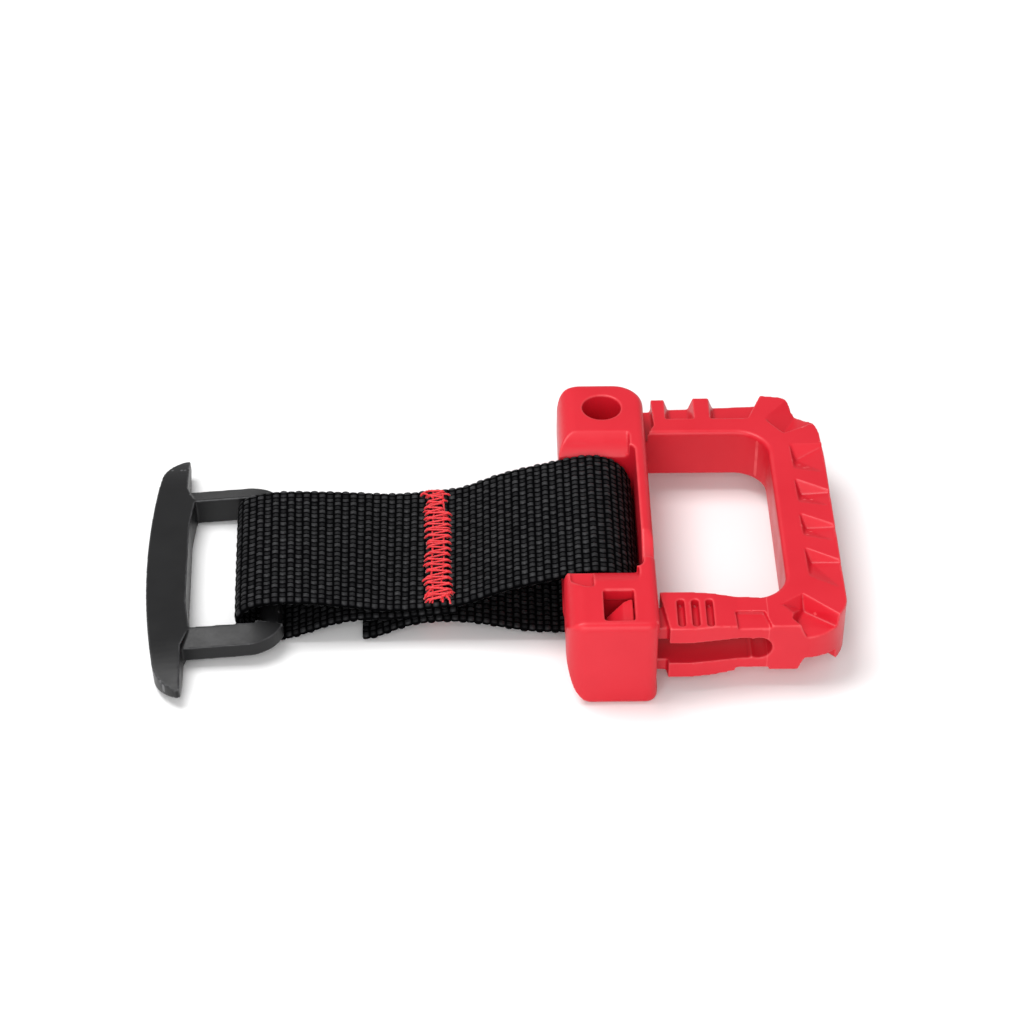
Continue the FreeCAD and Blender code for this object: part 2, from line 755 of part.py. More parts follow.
def make_toggle():
    """The toggle bar: a bowed head on a ring whose far side is the crossbar in the webbing loop."""
    body = new_body("toggle_bar")
    ring = new_sketch(body, "ring_plan", "XY_Plane")
    back = "ring_half_outside"
    front = "-1 * ring_half_outside"
    rectangle(ring, "head_inner_root - 5", "ring_outside", front, back)
    pad(body, ring, "2 * toggle_half", midplane=True)
    for along in (back, front):
        name = "ring_corner" if along == back else "ring_corner_front"
        round_edges(body, name, "ring_corner_round", upright_at("ring_outside", along))
    bevel_ring(body)
    opening = new_sketch(body, "ring_opening", "XY_Plane")
    low, high = "-1 * ring_half_opening", "ring_half_opening"
    rectangle(opening, "head_inner_root - 1", "ring_inside", low, high)
    pocket(body, opening, "4 * toggle_half", midplane=True)
    head = new_sketch(body, "head_plan", "XY_Plane")
    corners = [
        ("head_inner", "-1 * head_tip + 0.1"),
        ("head_inner", front),
        ("head_inner_root", low, "head_inner_round", -1),
        ("head_inner_root", high),
        ("head_inner", back),
        ("head_inner", "head_tip - 0.1"),
        ("head_tip_across", "head_tip", "head_shoulder_round", 1),
        ("head_shoulder_across", "head_shoulder", "head_outer_round", 1),
        ("head_shoulder_across", "-1 * head_shoulder", "head_shoulder_round", 1),
        ("head_tip_across", "-1 * head_tip"),
    ]
    outline(head, corners)
    pad(body, head, "2 * toggle_half", midplane=True)
    taper_head(body)
    bay = new_sketch(body, "crossbar_bay", "XY_Plane")
    length = "crossbar_half_length"
    rectangle(bay, "ring_inside - 0.1", "ring_outside + 1", f"-1 * {length}", length)
    pocket(body, bay, "4 * toggle_half", midplane=True)
    bar = new_sketch(body, "crossbar", "XZ_Plane")
    circle(bar, "0 * crossbar_round", "0 * crossbar_round", "crossbar_round")
    pad(body, bar, f"2 * {length} + 1", midplane=True)
    base = "vector(Sizes.toggle_across; Sizes.toggle_along; Sizes.toggle_height)"
    turn = "rotation(Sizes.toggle_yaw; -1 * Sizes.toggle_pitch; 0)"
    body.setExpression("Placement", f"placement({base}; {turn})")
    document.recompute()
    return body


def taper_head(body):
    """Both faces of the head curve in to thin tips."""
    for way in (1, -1):
        for face in (1, -1):
            taper = new_sketch(body, "head_taper", "YZ_Plane", "head_shoulder_across - 4")
            corners = [
                (f"{way} * head_taper_start", f"{face} * toggle_half", "head_taper_round", -way * face),
                (f"{way} * (head_tip + 0.2)", f"{face} * head_tip_half"),
                (f"{way} * (head_tip + 0.2)", f"{face} * (toggle_half + 1)"),
                (f"{way} * head_taper_start", f"{face} * (toggle_half + 1)"),
            ]
            outline(taper, corners)
            pocket(body, taper, "head_inner - head_shoulder_across + 5", backwards=True)


def bevel_ring(body):
    """Slopes both faces of the ring down to its thin outer edge."""
    flat = level_at("toggle_half", "-1 * toggle_half")
    left = size("head_inner_root - 5")
    chosen = []
    for number, edge in enumerate(body.Shape.Edges, start=1):
        if flat(edge) and edge.BoundBox.XMax > left + 0.1:
            chosen.append(f"Edge{number}")
    base = body.Tip
    slope = body.newObject("PartDesign::Chamfer", "ring_slope")
    slope.Base = (base, chosen)
    slope.ChamferType = "Two distances"
    slope.setExpression("Size", bound("ring_slope_drop"))
    slope.setExpression("Size2", bound("ring_slope_run"))
    document.recompute()


def webbing_path():
    """The middle line of the webbing, seen from the side, as (X, Z): one length from end to end."""
    radius = size("bar_round + webbing_play + 0.5 * webbing_thickness")
    across, height = size("bar_middle"), size("bar_height")
    below = [
        (-26.6, 1.0),
        (-24.2, 1.55),
        (-20.0, 3.4),
        (-14.6, 5.25),
        (-10.6, 5.75),
        (-6.6, 5.75),
        (0.0, 4.75),
        (8.0, 3.0),
        (16.0, 2.55),
    ]
    turn = []
    for degrees in range(-90, 91, 20):
        angle = math.radians(degrees)
        turn.append((across + radius * math.cos(angle), height + radius * math.sin(angle)))
    above = [
        (15.0, 17.5),
        (8.0, 15.6),
        (1.0, 13.2),
        (-6.6, 10.05),
        (-10.6, 9.55),
        (-14.6, 9.05),
        (-20.0, 8.7),
        (-28.0, 9.4),
        (-36.0, 10.1),
        (-43.0, 10.3),
        (-48.6, 9.6),
        (-51.9, 7.8),
        (-52.8, 5.4),
        (-51.6, 2.9),
        (-48.8, 1.4),
        (-45.0, 1.1),
        (-39.5, 2.6),
        (-33.2, 5.0),
        (-27.0, 6.25),
        (-20.0, 6.6),
        (-14.6, 7.15),
        (-10.6, 7.65),
        (-6.6, 8.15),
    ]
    return below + turn + above


def make_webbing():
    """The webbing as a ribbon of one thickness, swept along its path and as wide as the tape."""
    line = Part.BSplineCurve()
    line.interpolate([Vector(across, 0, up) for across, up in webbing_path()])
    half = size("0.5 * webbing_thickness")
    first, last = line.FirstParameter, line.LastParameter
    steps = 220
    edges = []
    for side in (half, -half):
        points = []
        for number in range(steps + 1):
            place = first + (last - first) * number / steps
            run = line.tangent(place)[0]
            points.append(line.value(place) + Vector(-run.z, 0, run.x) * side)
        curve = Part.BSplineCurve()
        curve.interpolate(points)
        edges.append(curve.toShape())
    caps = []
    for end in (0, -1):
        corners = [edge.Vertexes[end].Point for edge in edges]
        caps.append(Part.makeLine(*corners))
    face = Part.Face(Part.Wire(Part.__sortEdges__(edges + caps)))
    width = size("webbing_width")
    ribbon = document.addObject("Part::Feature", "webbing_strap")
    ribbon.Shape = face.extrude(Vector(0, width, 0))
    ribbon.Placement = Placement(Vector(0, size("webbing_middle") - width / 2, 0), Rotation())
    return ribbon


def make_bartack():
    """The bar tack: a thin plate of thread on the upper layer and its twin on the underside."""
    upper_layer = (Vector(-14.6, 0, 9.05), Vector(-6.6, 0, 10.05), 1)
    lowest_layer = (Vector(-14.6, 0, 5.25), Vector(-6.6, 0, 5.75), -1)
    plates = []
    for start, end, way in (upper_layer, lowest_layer):
        slope = (end.z - start.z) / (end.x - start.x)
        gap = size("0.5 * webbing_thickness + tack_play")
        thick = size("tack_thickness")
        surface = []
        for across in (size("tack_left"), size("tack_right")):
            surface.append(Vector(across, 0, start.z + slope * (across - start.x)))
        ring = [point + Vector(0, 0, way * gap) for point in surface]
        ring += [point + Vector(0, 0, way * (gap + thick)) for point in reversed(surface)]
        face = Part.Face(Part.makePolygon(ring + ring[:1]))
        plates.append(face.extrude(Vector(0, size("tack_length"), 0)))
    tack = document.addObject("Part::Feature", "bartack_thread")
    tack.Shape = Part.makeCompound(plates)
    tack.Placement = Placement(Vector(0, size("webbing_middle - 0.5 * tack_length"), 0), Rotation())
    return tack


def check(objects):
    """Stops if any object of the document failed, or a sub-part has no sound shape."""
    for thing in document.Objects:
        if "Invalid" in thing.State or "Error" in thing.State:
            raise ValueError(f"{thing.Name} failed: {thing.State}")
    for thing in objects:
        if thing.Shape.isNull() or not thing.Shape.isValid():
            raise ValueError(f"{thing.Label} has no sound shape")


def main():
    pieces = [
        make_yoke(),
        make_pin(),
        make_handle(),
        make_prong("upper_latch_prong", ""),
        make_prong("lower_latch_prong", "-1 * "),
        make_toggle(),
        make_webbing(),
        make_bartack(),
    ]
    document.recompute()
    check(pieces)
    os.makedirs("parts", exist_ok=True)
    for piece in pieces:
        piece.Shape.exportStep(f"parts/{piece.Label}.step")
        solids = len(piece.Shape.Solids)
        print(piece.Label, solids, round(piece.Shape.Volume, 1), piece.Shape.BoundBox)


main()
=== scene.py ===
import json
import math
import random

import bmesh
import bpy
import numpy as np
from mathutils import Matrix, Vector


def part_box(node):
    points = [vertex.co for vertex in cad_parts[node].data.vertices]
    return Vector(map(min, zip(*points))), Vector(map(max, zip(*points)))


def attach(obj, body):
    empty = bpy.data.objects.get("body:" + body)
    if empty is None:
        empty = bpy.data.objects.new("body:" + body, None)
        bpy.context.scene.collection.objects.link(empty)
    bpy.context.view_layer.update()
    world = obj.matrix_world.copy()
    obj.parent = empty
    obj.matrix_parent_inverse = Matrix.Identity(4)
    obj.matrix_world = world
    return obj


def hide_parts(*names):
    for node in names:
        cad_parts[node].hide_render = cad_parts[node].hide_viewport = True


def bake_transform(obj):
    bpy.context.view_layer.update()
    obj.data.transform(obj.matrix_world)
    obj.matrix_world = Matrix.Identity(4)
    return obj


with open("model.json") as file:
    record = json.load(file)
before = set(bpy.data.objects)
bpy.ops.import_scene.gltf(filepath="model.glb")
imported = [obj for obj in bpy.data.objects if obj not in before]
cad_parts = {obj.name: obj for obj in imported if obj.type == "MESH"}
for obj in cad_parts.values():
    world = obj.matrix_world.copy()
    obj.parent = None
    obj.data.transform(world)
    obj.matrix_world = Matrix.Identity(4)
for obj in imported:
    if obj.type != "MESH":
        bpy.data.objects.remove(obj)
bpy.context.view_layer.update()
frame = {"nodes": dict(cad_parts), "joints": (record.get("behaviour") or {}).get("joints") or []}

MM = 0.001

# Soft edges of the moulded pieces: cell size of the even skin in millimetres, rounds of relaxing.
YOKE_EDGES = (0.26, 5)
HANDLE_EDGES = (0.25, 4)
TOGGLE_EDGES = (0.20, 4)

# The fillings of the hinge gaps, in millimetres: half their length along the arm, how far they stay
# inside the arm's front and inner faces, how far below the flexure they start, and for each of the two
# blocks on a side how far back it begins and how far it stays under the outer face.
FILL_HALF = 1.9
FILL_FRONT = 0.15
FILL_INNER = 0.95
FILL_DEPTH = 1.67
FILL_BLOCKS = ((0.0, 0.80), (5.0, 0.08))

# The stretch over which the prongs bend, in millimetres each side of the flexure.
BEND_TO_ROOT = 3.4

# The webbing's middle line seen from the side, as (X, Z) in millimetres: along the table under the
# toggle bar, round the yoke's bar, back over the crossbar and in again between the other two layers.
UNDER = [(-26.6, 1.0), (-24.2, 1.55), (-20.0, 3.4), (-14.6, 5.25), (-10.6, 5.75), (-6.6, 5.75)]
UNDER += [(0.0, 4.75), (8.0, 3.0), (16.0, 2.55)]
BAR_MIDDLE = (22.1, 10.75)
BAR_TURN_RADIUS = 8.1
OVER = [(15.0, 17.5), (8.0, 15.6), (1.0, 13.2), (-6.6, 10.05), (-10.6, 9.55), (-14.6, 9.05)]
OVER += [(-20.0, 8.7), (-28.0, 9.4), (-36.0, 10.1), (-43.0, 10.3), (-48.6, 9.6), (-51.9, 7.8)]
OVER += [(-52.8, 5.4), (-51.6, 2.9), (-48.8, 1.4), (-45.0, 1.1), (-39.5, 2.6), (-33.2, 5.0)]
OVER += [(-27.0, 6.25), (-20.0, 6.6), (-14.6, 7.15), (-10.6, 7.65), (-6.6, 8.15)]

CURVE_SAMPLES = 6000

# The weave, in millimetres, or in shares of one rib and of one row of beads. The lower face's grain
# is shifted along so that it doesn't repeat the upper face's.
TAPE_HALF = 0.9
RIB_PITCH = 1.63
ROW_COUNT = 27
RIB_CUTS = (0.0, 0.2, 0.5, 0.8)
ROW_CUTS = (0.0, 0.22, 0.78)
HEM_ROWS = 0.10
BEAD_HEIGHT = 0.42
LOW_BEAD = 0.70
SELVEDGE_BULGE = 0.3
SELVEDGE_WIDTH = 1.6
SELVEDGE_LOW = 0.35
LOWER_FACE_SHIFT = 40
WEAVE_SEED = 11

# How the toggle loop lies askew: where along X its turn begins and is complete, and how far its upper
# layer rises at the front edge, half a tape's width from the middle, fading in over a height.
SKEW_START = -14.0
SKEW_END = -44.0
SKEW_DEGREES = 2.5
ROLL_LIFT = 0.85
LIFT_FROM = 3
LIFT_HEIGHT = 7
HALF_WIDTH = 19

# The bar tack, in millimetres. The stray ends are (from, to, bow), places as shares across and along.
THREAD_RADIUS = 0.27
THREAD_SIDES = 10
TWIST_LENGTH = 1.5
STITCH_STEPS = 15
STITCH_SUNK = 0.35
STITCH_RISE = 0.16
STITCHES = 39
STROKES = 13
STRAY_ENDS = (
    ((0.1, 0.0), (-0.12, 0.03), 0.3),
    ((-0.08, 0.02), (0.34, 0.08), 0.5),
    ((0.06, 0.97), (0.30, 0.90), 0.5),
    ((0.22, 1.0), (0.70, 0.985), 0.55),
    ((0.78, 0.975), (0.92, 1.025), 0.5),
    ((0.60, 0.99), (1.0, 0.95), 0.6),
)

# The studio, in metres and watts.
FLOOR_HALF = 3.0
SKY_STRENGTH = 0.50
LAMPS = (
    ("overhead_soft_box", 6.8, 0.5, (-0.30, 0.10, 0.9)),
    ("front_soft_box", 6.6, 0.8, (-0.10, -0.85, 0.50)),
)
LENS = 97.5
CAMERA_TILT = 50
CAMERA_SWING = -0.8
CAMERA_PIVOT = (0.02465, 0, 0)
CAMERA_BEFORE_SWING = (0.005, -0.44665, 0.3921)


# ---------------------------------------------------------------- materials


class Finish:
    """A node material under construction. Places are in the object's own coordinates, in metres."""

    def __init__(self, name):
        self.material = bpy.data.materials.new(name)
        self.material.use_nodes = True
        self.tree = self.material.node_tree
        self.shader = self.tree.nodes["Principled BSDF"]
        self.place = self.add("ShaderNodeTexCoord").outputs["Object"]

    def add(self, kind):
        return self.tree.nodes.new(kind)

    def put(self, socket, value):
        """Sets a socket to a number, a colour or another node's output."""
        if isinstance(value, bpy.types.NodeSocket):
            self.tree.links.new(value, socket)
        else:
            socket.default_value = value

    def stretched(self, scales):
        """The place, with each axis scaled on its own."""
        node = self.add("ShaderNodeMapping")
        self.put(node.inputs["Vector"], self.place)
        node.inputs["Scale"].default_value = scales
        return node.outputs["Vector"]

    def noise(self, grain_mm, detail, place=None):
        """Noise with lumps of about one size, in millimetres."""
        node = self.add("ShaderNodeTexNoise")
        self.put(node.inputs["Vector"], place or self.place)
        node.inputs["Scale"].default_value = 1 / (grain_mm * MM)
        node.inputs["Detail"].default_value = detail
        return node.outputs["Fac"]

    def span(self, value, low, high, bottom=0.0, top=1.0):
        """Maps low..high of a value onto bottom..top, clamped."""
        node = self.add("ShaderNodeMapRange")
        self.put(node.inputs["Value"], value)
        limits = (("From Min", low), ("From Max", high), ("To Min", bottom), ("To Max", top))
        for socket, number in limits:
            node.inputs[socket].default_value = number
        return node.outputs["Result"]

    def math(self, operation, first, second):
        """One step of arithmetic on two values."""
        node = self.add("ShaderNodeMath")
        node.operation = operation
        self.put(node.inputs[0], first)
        self.put(node.inputs[1], second)
        return node.outputs["Value"]

    def mix(self, share, first, second):
        """One colour turning into another."""
        node = self.add("ShaderNodeMix")
        node.data_type = "RGBA"
        self.put(node.inputs[0], share)
        for socket, colour in ((node.inputs[6], first), (node.inputs[7], second)):
            self.put(socket, (*colour, 1) if isinstance(colour, tuple) else colour)
        return node.outputs[2]

    def attribute(self, name):
        """A value stored on the mesh."""
        node = self.add("ShaderNodeAttribute")
        node.attribute_name = name
        return node.outputs["Fac"]

    def bump(self, height, depth_mm, strength, under=None):
        """A relief of the given depth, on top of another one if there is one under it."""
        node = self.add("ShaderNodeBump")
        self.put(node.inputs["Height"], height)
        node.inputs["Distance"].default_value = depth_mm * MM
        node.inputs["Strength"].default_value = strength
        if under is not None:
            self.put(node.inputs["Normal"], under)
        return node.outputs["Normal"]

    def finish(self, colour, roughness, normal, **others):
        """Wires the results into the shader and returns the material."""
        inputs = {"Base Color": colour, "Roughness": roughness, "Normal": normal}
        inputs.update((name.replace("_", " "), value) for name, value in others.items())
        for name, value in inputs.items():
            self.put(self.shader.inputs[name], value)
        return self.material


def moulded(name, colour, deep, crease_shade, edge_highlight, rough, shine):
    """Moulded plastic: cloudy colour, painted shade in creases, painted highlights along convex edges,
    fine grain, faint flow waves.
    """
    kit = Finish(name)
    cloud = kit.span(kit.noise(14, 4), 0.35, 0.65)
    body = kit.mix(cloud, colour, deep)
    edge = kit.add("ShaderNodeNewGeometry").outputs["Pointiness"]
    # Painted shade: concave edges (low pointiness) darkened towards the crease shade colour.
    body = kit.mix(kit.span(edge, 0.44, 0.495, 0.75, 0.0), body, crease_shade)
    # Painted highlight: convex edges (high pointiness) lightened in patches towards the edge highlight
    # colour.
    patches = kit.span(kit.noise(2.5, 4), 0.3, 0.6, 0.45, 1.0)
    edge_highlight_mask = kit.math("MULTIPLY", kit.span(edge, 0.51, 0.57), patches)
    body = kit.mix(edge_highlight_mask, body, edge_highlight)
    gloss = kit.span(kit.noise(5, 5), 0.3, 0.7, rough - 0.05, rough + 0.05)
    gloss = kit.math("ADD", gloss, kit.span(kit.noise(0.5, 2), 0.3, 0.7, -0.03, 0.03))
    waves = kit.bump(kit.noise(9, 1), 0.10, 0.25)
    grain = kit.bump(kit.noise(0.35, 3), 0.012, 0.45, waves)
    return kit.finish(body, gloss, grain, Specular_IOR_Level=shine)


def woven_nylon():
    """Black webbing: the beads are geometry; the material adds filaments with painted glints, sheen,
    and painted shade in the gaps between the beads.
    """
    kit = Finish("black_nylon_webbing")
    kit.place = kit.add("ShaderNodeUVMap").outputs["UV"]
    crest = kit.attribute("crest")
    strands = kit.noise(1.0, 2, kit.stretched((0.55, 7.0, 1.0)))
    blotch = kit.span(kit.noise(4.5, 4), 0.35, 0.7)
    face = kit.mix(blotch, (0.009, 0.009, 0.010), (0.018, 0.018, 0.0195))
    # Painted glints: pale streaks along the filaments on the bead faces.
    face = kit.mix(kit.span(strands, 0.45, 0.75, 0.0, 0.6), face, (0.050, 0.050, 0.053))
    # Painted shade: where the crest attribute is low, in the gaps between the beads, the colour goes
    # nearly to black.
    height = kit.span(crest, 0.22, 0.74)
    colour = kit.mix(height, (0.0016, 0.0016, 0.0018), face)
    gloss = kit.span(strands, 0.3, 0.7, 0.38, 0.60)
    normal = kit.bump(strands, 0.07, 0.8)
    shine = kit.span(crest, 0.36, 0.86, 0.0, 0.26)
    return kit.finish(colour, gloss, normal, Specular_IOR_Level=shine)


def sewing_thread():
    """Red bonded thread: the twist is geometry; the material adds filaments and a soft sheen."""
    kit = Finish("red_sewing_thread")
    strands = kit.noise(0.5, 3, kit.stretched((0.5, 4.0, 4.0)))
    body = kit.mix(kit.span(strands, 0.35, 0.65), (0.50, 0.003, 0.010), (0.86, 0.018, 0.028))
    gloss = kit.span(kit.noise(0.8, 3), 0.3, 0.7, 0.40, 0.60)
    normal = kit.bump(strands, 0.04, 0.7)
    return kit.finish(body, gloss, normal, Sheen_Weight=0.3, Sheen_Roughness=0.4)


def studio_floor():
    """A white table with the faintest unevenness."""
    kit = Finish("white_table")
    body = kit.mix(kit.span(kit.noise(120, 2), 0.3, 0.7), (0.90, 0.90, 0.90), (0.92, 0.92, 0.92))
    normal = kit.bump(kit.noise(3, 2), 0.01, 0.1)
    return kit.finish(body, 0.6, normal, Specular_IOR_Level=0.2)


def paint(obj, material):
    obj.data.materials.clear()
    obj.data.materials.append(material)


# ---------------------------------------------------------------- meshes


def new_object(name, mesh):
    obj = bpy.data.objects.new(name, mesh)
    bpy.context.scene.collection.objects.link(obj)
    return obj


def smooth_faces(mesh):
    mesh.polygons.foreach_set("use_smooth", [True] * len(mesh.polygons))


def tidy_normals(mesh):
    bm = bmesh.new()
    bm.from_mesh(mesh)
    bmesh.ops.recalc_face_normals(bm, faces=bm.faces)
    bm.to_mesh(mesh)
    bm.free()


def soften(obj, edges):
    """Gives a moulded piece its small rounded edges: an even skin, then relaxed."""
    cell_mm, rounds = edges
    skin = obj.modifiers.new("even_skin", "REMESH")
    skin.mode = "VOXEL"
    skin.voxel_size = cell_mm * MM
    skin.use_smooth_shade = True
    relax = obj.modifiers.new("soft_edges", "SMOOTH")
    relax.factor = 0.5
    relax.iterations = rounds


def baked(obj, name):
    """A new mesh with the object's modifiers in it."""
    graph = bpy.context.evaluated_depsgraph_get()
    mesh = bpy.data.meshes.new_from_object(obj.evaluated_get(graph), depsgraph=graph)
    mesh.name = name
    return mesh


# ---------------------------------------------------------------- handle and prongs, one moulding


def flexure():
    """Where the prongs bend: the place of the upper latch joint."""
    joint = [entry for entry in frame["joints"] if entry["name"] == "latch_squeeze"][0]
    return Vector(joint["pos_m"])


def add_block(bm, low, high):
    """A box between two corners."""
    made = bmesh.ops.create_cube(bm, size=1.0)
    for vertex in made["verts"]:
        for axis in range(3):
            vertex.co[axis] = high[axis] if vertex.co[axis] > 0 else low[axis]


def one_moulding():
    """The handle and both prongs in one skin, with the gaps that only the joints need filled in."""
    bend = flexure()
    low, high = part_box("release_handle")
    middle = (low.z + high.z) / 2
    front = low.y + FILL_FRONT * MM
    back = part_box("upper_latch_prong")[1].y - FILL_INNER * MM
    near = bend.z - middle - FILL_DEPTH * MM
    bm = bmesh.new()
    for name in ("release_handle", "upper_latch_prong", "lower_latch_prong"):
        bm.from_mesh(frame["nodes"][name].data)
    for side in (1, -1):
        for step_back, drop in FILL_BLOCKS:
            far = high.z - middle - drop * MM
            bottom, top = sorted((side * near, side * far))
            corner = (bend.x - FILL_HALF * MM, front + step_back * MM, middle + bottom)
            add_block(bm, corner, (bend.x + FILL_HALF * MM, back, middle + top))
    mesh = bpy.data.meshes.new("moulding")
    bm.to_mesh(mesh)
    bm.free()
    rough = new_object("moulding", mesh)
    soften(rough, HANDLE_EDGES)
    skin = baked(rough, "moulding_skin")
    bpy.data.objects.remove(rough)
    return skin, middle


def cut_moulding(skin, middle, cut):
    """Parts the skin at the roots of the prongs: one closed mesh for each of the three."""
    behind_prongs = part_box("upper_latch_prong")[1].y + 5 * MM

    def owner(face):
        place = face.calc_center_median()
        if place.x > cut or place.y > behind_prongs:
            return "handle_moulding"
        return "upper_prong_moulding" if place.z > middle else "lower_prong_moulding"

    meshes = {}
    for name in ("handle_moulding", "upper_prong_moulding", "lower_prong_moulding"):
        bm = bmesh.new()
        bm.from_mesh(skin)
        near = [face for face in bm.faces if face.calc_center_median().y < behind_prongs]
        edges = {edge for face in near for edge in face.edges}
        verts = {vertex for face in near for vertex in face.verts}
        geometry = list(verts) + list(edges) + near
        bmesh.ops.bisect_plane(bm, geom=geometry, plane_co=(cut, 0, 0), plane_no=(1, 0, 0))
        others = [face for face in bm.faces if owner(face) != name]
        bmesh.ops.delete(bm, geom=others, context="FACES")
        rim = [edge for edge in bm.edges if edge.is_boundary]
        for edge in rim:
            edge.smooth = False
        caps = bmesh.ops.holes_fill(bm, edges=rim, sides=0)["faces"]
        for face in bm.faces:
            face.smooth = True
        for face in caps:
            face.smooth = False
        bmesh.ops.recalc_face_normals(bm, faces=bm.faces)
        mesh = bpy.data.meshes.new(name)
        bm.to_mesh(mesh)
        bm.free()
        meshes[name] = mesh
    return meshes


def make_handle(finish):
    """The D handle rides on its body; each prong is parted from it past the thinned stretch as a mesh
    of its own, baked in place.
    """
    bend = flexure()
    root = bend.x + BEND_TO_ROOT * MM
    skin, middle = one_moulding()
    meshes = cut_moulding(skin, middle, root)
    handle = new_object("release_handle_moulding", meshes["handle_moulding"])
    paint(handle, finish)
    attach(handle, "handle")
    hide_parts("release_handle")
    for body, node in (("upper_prong", "upper_latch_prong"), ("lower_prong", "lower_latch_prong")):
        prong = new_object(node + "_moulding", meshes[body + "_moulding"])
        paint(prong, finish)
        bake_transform(prong)
        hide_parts(node)


# ---------------------------------------------------------------- webbing


def tape_points():
    """The webbing's middle line with its half turn round the yoke's bar."""
    turn = []
    for degrees in range(-90, 91, 20):
        angle = math.radians(degrees)
        across = BAR_MIDDLE[0] + BAR_TURN_RADIUS * math.cos(angle)
        turn.append((across, BAR_MIDDLE[1] + BAR_TURN_RADIUS * math.sin(angle)))
    return UNDER + turn + OVER


def natural_curve(points):
    """A natural cubic curve through the points, read closely along its length."""
    knots = np.array(points, float)
    gaps = np.linalg.norm(np.diff(knots, axis=0), axis=1)
    times = np.concatenate(([0.0], np.cumsum(gaps)))
    count = len(knots)
    matrix = np.eye(count)
    right = np.zeros((count, 2))
    for i in range(1, count - 1):
        matrix[i, i - 1 : i + 2] = (gaps[i - 1], 2 * (gaps[i - 1] + gaps[i]), gaps[i])
        ahead = (knots[i + 1] - knots[i]) / gaps[i]
        right[i] = 6 * (ahead - (knots[i] - knots[i - 1]) / gaps[i - 1])
    bends = np.linalg.solve(matrix, right)
    wanted = np.linspace(0, times[-1], CURVE_SAMPLES)
    spot = np.clip(np.searchsorted(times, wanted, side="right") - 1, 0, count - 2)
    gap = gaps[spot][:, None]
    before = (wanted - times[spot])[:, None]
    after = gap - before
    cubic = (bends[spot] * after**3 + bends[spot + 1] * before**3) / (6 * gap)
    straight = (knots[spot] / gap - bends[spot] * gap / 6) * after
    straight += (knots[spot + 1] / gap - bends[spot + 1] * gap / 6) * before
    return cubic + straight


def stations_along(curve):
    """Places on the curve at the cuts of every rib, the unit normals there and the ribs passed."""
    run = np.concatenate(([0.0], np.cumsum(np.linalg.norm(np.diff(curve, axis=0), axis=1))))
    ribs = round(float(run[-1]) / RIB_PITCH)
    passed = np.append((np.arange(ribs)[:, None] + np.array(RIB_CUTS)).ravel(), ribs)
    wanted = passed * run[-1] / ribs
    tangents = np.gradient(curve, axis=0)
    tangents /= np.linalg.norm(tangents, axis=1)[:, None]
    places = np.stack([np.interp(wanted, run, curve[:, axis]) for axis in (0, 1)], axis=1)
    slopes = np.stack([np.interp(wanted, run, tangents[:, axis]) for axis in (0, 1)], axis=1)
    return places, np.stack([-slopes[:, 1], slopes[:, 0]], axis=1), passed


def across_the_tape(width):
    """The rows passed at each cut across one face, and how full the rounded edges are there."""
    passed = np.append((np.arange(ROW_COUNT)[:, None] + np.array(ROW_CUTS)).ravel(), ROW_COUNT)
    hems = ([passed[0], HEM_ROWS], [ROW_COUNT - HEM_ROWS, passed[-1]])
    passed = np.concatenate((hems[0], passed[1:-1], hems[1]))
    over_edge = np.abs(passed / ROW_COUNT - 0.5) * width - (width / 2 - TAPE_HALF)
    fullness = np.sqrt(np.clip(1 - (np.clip(over_edge, 0, None) / TAPE_HALF) ** 2, 0, 1))
    return passed, fullness


def bead_field(rib, row, dice):
    """Plain weave: how high the beads stand, tall and low in turn, and the number of each rib."""
    rib, row = np.meshgrid(rib, row, indexing="ij")
    rib_number = np.floor(rib + 1e-6).astype(int)
    row_number = np.clip(np.floor(row + 1e-6), 0, ROW_COUNT - 1).astype(int)
    along = np.abs(2 * (rib - rib_number) - 1)
    sideways = np.abs(2 * (row - row_number) - 1)
    tall = (rib_number + row_number) % 2 == 0
    ridge = np.clip(1 - along**2.4, 0, 1) ** 0.6
    crown = np.clip(1 - sideways**2.6, 0, 1) ** 0.6
    jitter = dice.uniform(0.8, 1.0, (rib_number.max() + 1, ROW_COUNT))[rib_number, row_number]
    return ridge * crown * np.where(tall, 1.0, LOW_BEAD) * jitter, rib_number


def wander(rib, row):
    """How far the rows of beads stray sideways, in rows, fading out at both edges of the tape."""
    rib, row = np.meshgrid(rib, row, indexing="ij")
    edge = np.clip(np.minimum(row, ROW_COUNT - row) / 3, 0, 1)
    turn = np.where(np.floor(rib + 1e-6) % 2 == 0, 1, -1)
    weave = 0.16 * turn * (1 - np.abs(2 * (rib % 1) - 1))
    return edge * (weave + 0.12 * np.sin(rib * 0.21 + row * 0.7) + 0.10 * np.sin(rib * 0.57 + 2.0))


def settle(x, y, z, middle):
    """The end of the strap lies a little askew: the toggle loop turns and rises towards the front."""
    share = np.clip((x - SKEW_START) / (SKEW_END - SKEW_START), 0, 1)
    share = share * share * (3 - 2 * share)
    lift = share * np.clip((z - LIFT_FROM) / LIFT_HEIGHT, 0, 1) * ROLL_LIFT
    forward = middle - y
    turn = math.tan(math.radians(SKEW_DEGREES))
    return x + forward * turn * share, z + lift * forward / HALF_WIDTH


